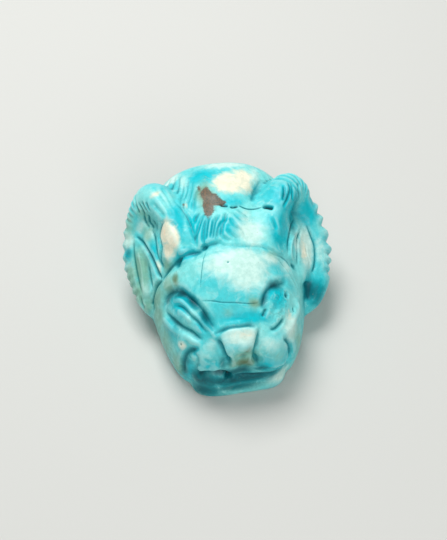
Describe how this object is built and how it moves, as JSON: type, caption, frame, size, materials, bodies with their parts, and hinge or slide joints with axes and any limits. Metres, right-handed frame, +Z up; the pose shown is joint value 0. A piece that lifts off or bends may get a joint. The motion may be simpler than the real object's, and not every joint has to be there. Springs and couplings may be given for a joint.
{
  "type": "ram head pendant",
  "caption": "Ram's head carved in the round from turquoise, with curled ribbed horns, a flat underside and a side-to-side bore for a cord.",
  "frame": {"origin": "middle of the flat underside, where it would lie on a table", "axes": "+Z up out of the underside, -Y towards the chin, +X towards the horn on the viewer's right in the picture"},
  "size_m": [0.0273, 0.03, 0.0151],
  "materials": {
    "turquoise": "polished natural stone, turquoise blue to mint with cream patches and thin brown veins"
  },
  "bodies": {
    "root": {"ram_head": "turquoise"}
  },
  "joints": []
}
